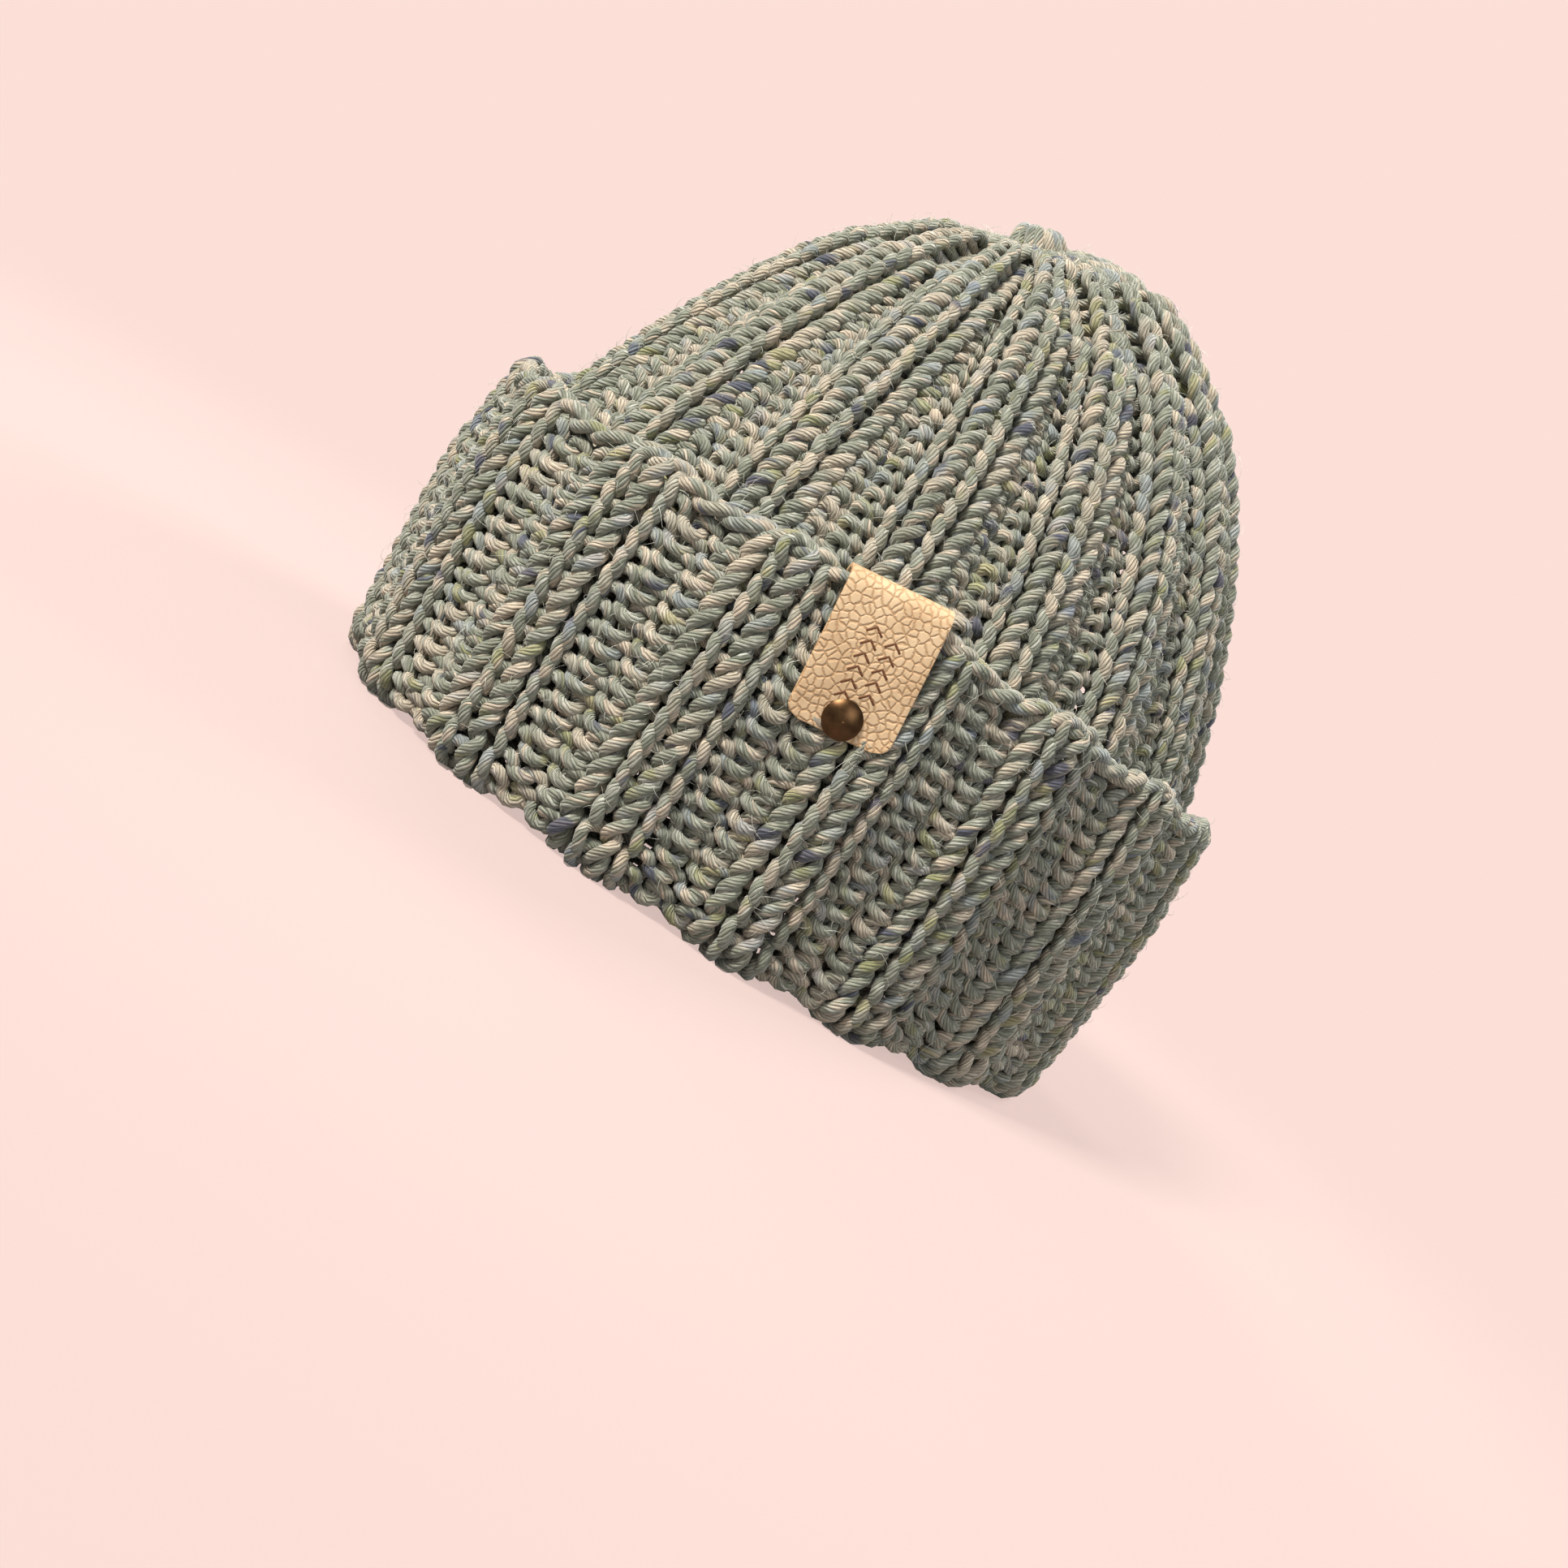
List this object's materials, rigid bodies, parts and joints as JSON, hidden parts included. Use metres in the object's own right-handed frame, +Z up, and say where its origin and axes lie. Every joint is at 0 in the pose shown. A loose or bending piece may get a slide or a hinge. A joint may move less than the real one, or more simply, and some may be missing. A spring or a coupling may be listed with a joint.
{
  "type": "knit beanie",
  "caption": "Ribbed knit beanie with a gathered crown, a turned-up cuff whose rib panels hinge down at the fold, and a small folded tag held by a rivet.",
  "frame": {"origin": "middle of the head opening, at the level of the hem's flat underside", "axes": "+Z up through the crown, -Y the wearer's front, +X the wearer's left, where the tag is"},
  "size_m": [0.1764, 0.2126, 0.1833],
  "materials": {
    "tweed_yarn": "soft tweed wool, ribbed knit",
    "cuff_yarn": "soft tweed wool, ribbed knit",
    "tag_leather": "pebbled faux leather, matt",
    "antique_brass": "antique brass, satin"
  },
  "bodies": {
    "hat_body": {"inner_band": "tweed_yarn", "crown_wall": "tweed_yarn", "crown_shoulder": "tweed_yarn", "crown_top": "tweed_yarn", "crown_gather": "tweed_yarn", "closing_yarn": "tweed_yarn", "fold_hem": "tweed_yarn"},
    "cuff_01": {"cuff_panel_01": "cuff_yarn", "tag_strip": "tag_leather", "rivet_cap": "antique_brass", "rivet_post": "antique_brass", "rivet_back": "antique_brass"},
    "cuff_02": {"cuff_panel_02": "cuff_yarn"},
    "cuff_03": {"cuff_panel_03": "cuff_yarn"},
    "cuff_04": {"cuff_panel_04": "cuff_yarn"},
    "cuff_05": {"cuff_panel_05": "cuff_yarn"},
    "cuff_06": {"cuff_panel_06": "cuff_yarn"},
    "cuff_07": {"cuff_panel_07": "cuff_yarn"},
    "cuff_08": {"cuff_panel_08": "cuff_yarn"},
    "cuff_09": {"cuff_panel_09": "cuff_yarn"},
    "cuff_10": {"cuff_panel_10": "cuff_yarn"},
    "cuff_11": {"cuff_panel_11": "cuff_yarn"},
    "cuff_12": {"cuff_panel_12": "cuff_yarn"},
    "cuff_13": {"cuff_panel_13": "cuff_yarn"},
    "cuff_14": {"cuff_panel_14": "cuff_yarn"},
    "cuff_15": {"cuff_panel_15": "cuff_yarn"},
    "cuff_16": {"cuff_panel_16": "cuff_yarn"}
  },
  "joints": [
    {"name": "cuff_turn_01", "type": "hinge", "parent": "hat_body", "child": "cuff_01", "pos_m": [0.07656, -0.03231, 0.00685], "axis": [0.2719, 0.9623, 0], "range_deg": [0, 178]},
    {"name": "cuff_turn_02", "type": "hinge", "parent": "hat_body", "child": "cuff_02", "pos_m": [0.08097, 0.00268, 0.00685], "axis": [-0.0221, 0.9998, 0], "range_deg": [0, 178]},
    {"name": "cuff_turn_03", "type": "hinge", "parent": "hat_body", "child": "cuff_03", "pos_m": [0.07497, 0.03749, 0.00685], "axis": [-0.3174, 0.9483, 0], "range_deg": [0, 178]},
    {"name": "cuff_turn_04", "type": "hinge", "parent": "hat_body", "child": "cuff_04", "pos_m": [0.05841, 0.06858, 0.00685], "axis": [-0.618, 0.7862, 0], "range_deg": [0, 178]},
    {"name": "cuff_turn_05", "type": "hinge", "parent": "hat_body", "child": "cuff_05", "pos_m": [0.03152, 0.0912, 0.00685], "axis": [-0.8886, 0.4588, 0], "range_deg": [0, 178]},
    {"name": "cuff_turn_06", "type": "hinge", "parent": "hat_body", "child": "cuff_06", "pos_m": [-0.00269, 0.09895, 0.00685], "axis": [-0.9992, -0.0405, 0], "range_deg": [0, 178]},
    {"name": "cuff_turn_07", "type": "hinge", "parent": "hat_body", "child": "cuff_07", "pos_m": [-0.03614, 0.0886, 0.00685], "axis": [-0.8539, -0.5204, 0], "range_deg": [0, 178]},
    {"name": "cuff_turn_08", "type": "hinge", "parent": "hat_body", "child": "cuff_08", "pos_m": [-0.06159, 0.0643, 0.00685], "axis": [-0.5728, -0.8197, 0], "range_deg": [0, 178]},
    {"name": "cuff_turn_09", "type": "hinge", "parent": "hat_body", "child": "cuff_09", "pos_m": [-0.07656, 0.03231, 0.00685], "axis": [-0.2719, -0.9623, 0], "range_deg": [0, 178]},
    {"name": "cuff_turn_10", "type": "hinge", "parent": "hat_body", "child": "cuff_10", "pos_m": [-0.08097, -0.00268, 0.00685], "axis": [0.0221, -0.9998, 0], "range_deg": [0, 178]},
    {"name": "cuff_turn_11", "type": "hinge", "parent": "hat_body", "child": "cuff_11", "pos_m": [-0.07497, -0.03749, 0.00685], "axis": [0.3174, -0.9483, 0], "range_deg": [0, 178]},
    {"name": "cuff_turn_12", "type": "hinge", "parent": "hat_body", "child": "cuff_12", "pos_m": [-0.05841, -0.06858, 0.00685], "axis": [0.618, -0.7862, 0], "range_deg": [0, 178]},
    {"name": "cuff_turn_13", "type": "hinge", "parent": "hat_body", "child": "cuff_13", "pos_m": [-0.03152, -0.0912, 0.00685], "axis": [0.8886, -0.4588, 0], "range_deg": [0, 178]},
    {"name": "cuff_turn_14", "type": "hinge", "parent": "hat_body", "child": "cuff_14", "pos_m": [0.00269, -0.09895, 0.00685], "axis": [0.9992, 0.0405, 0], "range_deg": [0, 178]},
    {"name": "cuff_turn_15", "type": "hinge", "parent": "hat_body", "child": "cuff_15", "pos_m": [0.03614, -0.0886, 0.00685], "axis": [0.8539, 0.5204, 0], "range_deg": [0, 178]},
    {"name": "cuff_turn_16", "type": "hinge", "parent": "hat_body", "child": "cuff_16", "pos_m": [0.06159, -0.0643, 0.00685], "axis": [0.5728, 0.8197, 0], "range_deg": [0, 178]}
  ],
  "couplings": [
    {"joint": "cuff_turn_02", "follows": "cuff_turn_01", "ratio": 1},
    {"joint": "cuff_turn_03", "follows": "cuff_turn_01", "ratio": 1},
    {"joint": "cuff_turn_04", "follows": "cuff_turn_01", "ratio": 1},
    {"joint": "cuff_turn_05", "follows": "cuff_turn_01", "ratio": 1},
    {"joint": "cuff_turn_06", "follows": "cuff_turn_01", "ratio": 1},
    {"joint": "cuff_turn_07", "follows": "cuff_turn_01", "ratio": 1},
    {"joint": "cuff_turn_08", "follows": "cuff_turn_01", "ratio": 1},
    {"joint": "cuff_turn_09", "follows": "cuff_turn_01", "ratio": 1},
    {"joint": "cuff_turn_10", "follows": "cuff_turn_01", "ratio": 1},
    {"joint": "cuff_turn_11", "follows": "cuff_turn_01", "ratio": 1},
    {"joint": "cuff_turn_12", "follows": "cuff_turn_01", "ratio": 1},
    {"joint": "cuff_turn_13", "follows": "cuff_turn_01", "ratio": 1},
    {"joint": "cuff_turn_14", "follows": "cuff_turn_01", "ratio": 1},
    {"joint": "cuff_turn_15", "follows": "cuff_turn_01", "ratio": 1},
    {"joint": "cuff_turn_16", "follows": "cuff_turn_01", "ratio": 1}
  ]
}
